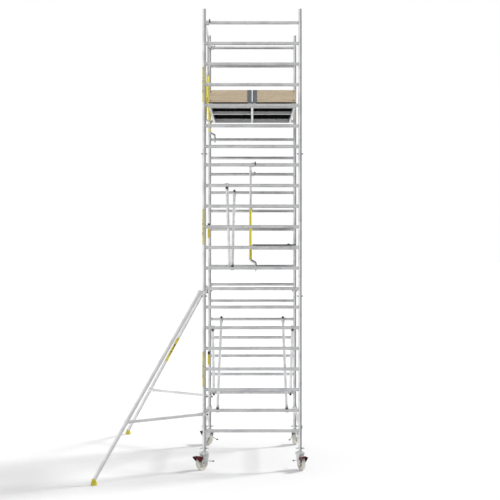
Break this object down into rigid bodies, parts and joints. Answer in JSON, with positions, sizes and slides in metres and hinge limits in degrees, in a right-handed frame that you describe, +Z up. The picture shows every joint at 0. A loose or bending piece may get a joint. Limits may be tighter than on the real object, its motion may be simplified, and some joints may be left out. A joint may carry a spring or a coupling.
{
  "type": "mobile tower scaffold",
  "caption": "Tall narrow aluminium tower scaffold on braked casters, with ladder frame ends, braces, decks with toe boards, guardrails and side stabilisers.",
  "frame": {"origin": "bottom centre of the whole bounding box, at floor level", "axes": "+Z up, +X across the ladder frames to the right, +Y along the platforms away from the viewer"},
  "size_m": [2.7946, 3.901, 6.25],
  "materials": {
    "aluminium_tube": "mill finish extruded tube",
    "cast_aluminium": "cast and plated fittings",
    "zinc_steel": "zinc plated steel",
    "wheel_polymer": "moulded wheel",
    "pedal_red": "dark red coated steel",
    "black_plastic": "black moulded levers and latches",
    "deck_board": "film faced plywood, dark brown to black",
    "toe_board": "sealed softwood board",
    "yellow_paint": "yellow powder coat",
    "yellow_rubber": "yellow rubber"
  },
  "bodies": {
    "tower": {"end_frame_near_base": "aluminium_tube", "end_frame_near_mid": "aluminium_tube", "end_frame_near_top": "aluminium_tube", "end_frame_far_base": "aluminium_tube", "end_frame_far_mid": "aluminium_tube", "end_frame_far_top": "aluminium_tube", "frame_lock_pins": "black_plastic", "horizontal_braces": "aluminium_tube", "diagonal_brace_left_rising": "aluminium_tube", "diagonal_brace_left_falling": "aluminium_tube", "diagonal_brace_right_rising": "aluminium_tube", "diagonal_brace_right_falling": "aluminium_tube", "diagonal_brace_mid_rising": "aluminium_tube", "diagonal_brace_mid_falling": "aluminium_tube", "diagonal_brace_latches": "black_plastic", "deck_frame_top_left": "aluminium_tube", "deck_board_top_left": "deck_board", "deck_frame_top_right": "aluminium_tube", "deck_board_top_right": "deck_board", "deck_frame_middle": "aluminium_tube", "deck_board_middle": "deck_board", "toe_boards_end": "toe_board", "toe_boards_side": "toe_board", "toe_board_brackets": "cast_aluminium", "guardrail_frame_left": "aluminium_tube", "guardrail_legs_left": "yellow_paint", "guardrail_frame_centre": "aluminium_tube", "guardrail_legs_centre": "yellow_paint"},
    "leg_near_left": {"leg_spindle_near_left": "zinc_steel"},
    "nut_near_left": {"height_nut_near_left": "cast_aluminium"},
    "fork_near_left": {"caster_fork_near_left": "zinc_steel"},
    "wheel_near_left": {"caster_wheel_near_left": "wheel_polymer"},
    "pedal_near_left": {"brake_pedal_near_left": "pedal_red"},
    "leg_near_right": {"leg_spindle_near_right": "zinc_steel"},
    "nut_near_right": {"height_nut_near_right": "cast_aluminium"},
    "fork_near_right": {"caster_fork_near_right": "zinc_steel"},
    "wheel_near_right": {"caster_wheel_near_right": "wheel_polymer"},
    "pedal_near_right": {"brake_pedal_near_right": "pedal_red"},
    "leg_far_left": {"leg_spindle_far_left": "zinc_steel"},
    "nut_far_left": {"height_nut_far_left": "cast_aluminium"},
    "fork_far_left": {"caster_fork_far_left": "zinc_steel"},
    "wheel_far_left": {"caster_wheel_far_left": "wheel_polymer"},
    "pedal_far_left": {"brake_pedal_far_left": "pedal_red"},
    "leg_far_right": {"leg_spindle_far_right": "zinc_steel"},
    "nut_far_right": {"height_nut_far_right": "cast_aluminium"},
    "fork_far_right": {"caster_fork_far_right": "zinc_steel"},
    "wheel_far_right": {"caster_wheel_far_right": "wheel_polymer"},
    "pedal_far_right": {"brake_pedal_far_right": "pedal_red"},
    "trapdoor_top_right": {"trapdoor_top_right": "deck_board"},
    "trapdoor_middle": {"trapdoor_middle": "deck_board"},
    "guardrail_lever_left_near": {"guardrail_lever_left_near": "black_plastic"},
    "guardrail_lever_left_far": {"guardrail_lever_left_far": "black_plastic"},
    "guardrail_lever_centre_near": {"guardrail_lever_centre_near": "black_plastic"},
    "guardrail_lever_centre_far": {"guardrail_lever_centre_far": "black_plastic"},
    "stabiliser_near": {"stabiliser_leg_near": "aluminium_tube", "stabiliser_arm_near": "aluminium_tube", "stabiliser_foot_near": "yellow_rubber"},
    "stabiliser_far": {"stabiliser_leg_far": "aluminium_tube", "stabiliser_arm_far": "aluminium_tube", "stabiliser_foot_far": "yellow_rubber"}
  },
  "joints": [
    {"name": "leg_height_near_left", "type": "slide", "parent": "tower", "child": "leg_near_left", "axis": [0, 0, -1], "range_m": [0, 0.2]},
    {"name": "nut_turn_near_left", "type": "hinge", "parent": "tower", "child": "nut_near_left", "pos_m": [-0.00124, -0.925, 0.2997], "axis": [0, 0, 1], "range_deg": [0, 7200.1]},
    {"name": "caster_swivel_near_left", "type": "hinge", "parent": "leg_near_left", "child": "fork_near_left", "pos_m": [-0.00124, -0.925, 0.251], "axis": [0, 0, 1], "continuous": true},
    {"name": "wheel_spin_near_left", "type": "hinge", "parent": "fork_near_left", "child": "wheel_near_left", "pos_m": [-0.03105, -0.9587, 0.1], "axis": [0.749, -0.6626, 0], "continuous": true},
    {"name": "brake_press_near_left", "type": "hinge", "parent": "fork_near_left", "child": "pedal_near_left", "pos_m": [-0.03569, -0.96395, 0.168], "axis": [0.749, -0.6626, 0], "range_deg": [0, 7]},
    {"name": "leg_height_near_right", "type": "slide", "parent": "tower", "child": "leg_near_right", "axis": [0, 0, -1], "range_m": [0, 0.2]},
    {"name": "nut_turn_near_right", "type": "hinge", "parent": "tower", "child": "nut_near_right", "pos_m": [1.29876, -0.925, 0.2997], "axis": [0, 0, 1], "range_deg": [0, 7200.1]},
    {"name": "caster_swivel_near_right", "type": "hinge", "parent": "leg_near_right", "child": "fork_near_right", "pos_m": [1.29876, -0.925, 0.251], "axis": [0, 0, 1], "continuous": true},
    {"name": "wheel_spin_near_right", "type": "hinge", "parent": "fork_near_right", "child": "wheel_near_right", "pos_m": [1.31378, -0.96742, 0.1], "axis": [0.9426, 0.3338, 0], "continuous": true},
    {"name": "brake_press_near_right", "type": "hinge", "parent": "fork_near_right", "child": "pedal_near_right", "pos_m": [1.31612, -0.97402, 0.168], "axis": [0.9426, 0.3338, 0], "range_deg": [0, 7]},
    {"name": "leg_height_far_left", "type": "slide", "parent": "tower", "child": "leg_far_left", "axis": [0, 0, -1], "range_m": [0, 0.2]},
    {"name": "nut_turn_far_left", "type": "hinge", "parent": "tower", "child": "nut_far_left", "pos_m": [-0.00124, 0.925, 0.2997], "axis": [0, 0, 1], "range_deg": [0, 7200.1]},
    {"name": "caster_swivel_far_left", "type": "hinge", "parent": "leg_far_left", "child": "fork_far_left", "pos_m": [-0.00124, 0.925, 0.251], "axis": [0, 0, 1], "continuous": true},
    {"name": "wheel_spin_far_left", "type": "hinge", "parent": "fork_far_left", "child": "wheel_far_left", "pos_m": [-0.03105, 0.9587, 0.1], "axis": [-0.749, -0.6626, 0], "continuous": true},
    {"name": "brake_press_far_left", "type": "hinge", "parent": "fork_far_left", "child": "pedal_far_left", "pos_m": [-0.03569, 0.96395, 0.168], "axis": [-0.749, -0.6626, 0], "range_deg": [0, 7]},
    {"name": "leg_height_far_right", "type": "slide", "parent": "tower", "child": "leg_far_right", "axis": [0, 0, -1], "range_m": [0, 0.2]},
    {"name": "nut_turn_far_right", "type": "hinge", "parent": "tower", "child": "nut_far_right", "pos_m": [1.29876, 0.925, 0.2997], "axis": [0, 0, 1], "range_deg": [0, 7200.1]},
    {"name": "caster_swivel_far_right", "type": "hinge", "parent": "leg_far_right", "child": "fork_far_right", "pos_m": [1.29876, 0.925, 0.251], "axis": [0, 0, 1], "continuous": true},
    {"name": "wheel_spin_far_right", "type": "hinge", "parent": "fork_far_right", "child": "wheel_far_right", "pos_m": [1.31378, 0.96742, 0.1], "axis": [-0.9426, 0.3338, 0], "continuous": true},
    {"name": "brake_press_far_right", "type": "hinge", "parent": "fork_far_right", "child": "pedal_far_right", "pos_m": [1.31612, 0.97402, 0.168], "axis": [-0.9426, 0.3338, 0], "range_deg": [0, 7]},
    {"name": "trapdoor_hinge_top_right", "type": "hinge", "parent": "tower", "child": "trapdoor_top_right", "pos_m": [1.15476, -0.453, 4.991], "axis": [0, 1, 0], "range_deg": [0, 90]},
    {"name": "trapdoor_hinge_middle", "type": "hinge", "parent": "tower", "child": "trapdoor_middle", "pos_m": [1.15476, -0.453, 3.061], "axis": [0, 1, 0], "range_deg": [0, 90]},
    {"name": "guardrail_lock_left_near", "type": "hinge", "parent": "tower", "child": "guardrail_lever_left_near", "pos_m": [0.07376, -0.956, 6.063], "axis": [0, 1, 0], "range_deg": [0, 90]},
    {"name": "guardrail_lock_left_far", "type": "hinge", "parent": "tower", "child": "guardrail_lever_left_far", "pos_m": [0.07376, 0.956, 6.063], "axis": [0, 1, 0], "range_deg": [0, 90]},
    {"name": "guardrail_lock_centre_near", "type": "hinge", "parent": "tower", "child": "guardrail_lever_centre_near", "pos_m": [0.69076, -0.956, 4.133], "axis": [0, 1, 0], "range_deg": [0, 90]},
    {"name": "guardrail_lock_centre_far", "type": "hinge", "parent": "tower", "child": "guardrail_lever_centre_far", "pos_m": [0.69076, 0.956, 4.133], "axis": [0, 1, 0], "range_deg": [0, 90]},
    {"name": "stabiliser_swing_near", "type": "hinge", "parent": "tower", "child": "stabiliser_near", "pos_m": [-0.00124, -0.925, 2.402], "axis": [0, 0, 1], "range_deg": [-31, 45]},
    {"name": "stabiliser_swing_far", "type": "hinge", "parent": "tower", "child": "stabiliser_far", "pos_m": [-0.00124, 0.925, 2.402], "axis": [0, 0, 1], "range_deg": [-45, 31]}
  ],
  "couplings": [
    {"joint": "nut_turn_near_left", "follows": "leg_height_near_left", "rad_per_m": 628.32},
    {"joint": "nut_turn_near_right", "follows": "leg_height_near_right", "rad_per_m": 628.32},
    {"joint": "nut_turn_far_left", "follows": "leg_height_far_left", "rad_per_m": 628.32},
    {"joint": "nut_turn_far_right", "follows": "leg_height_far_right", "rad_per_m": 628.32}
  ]
}
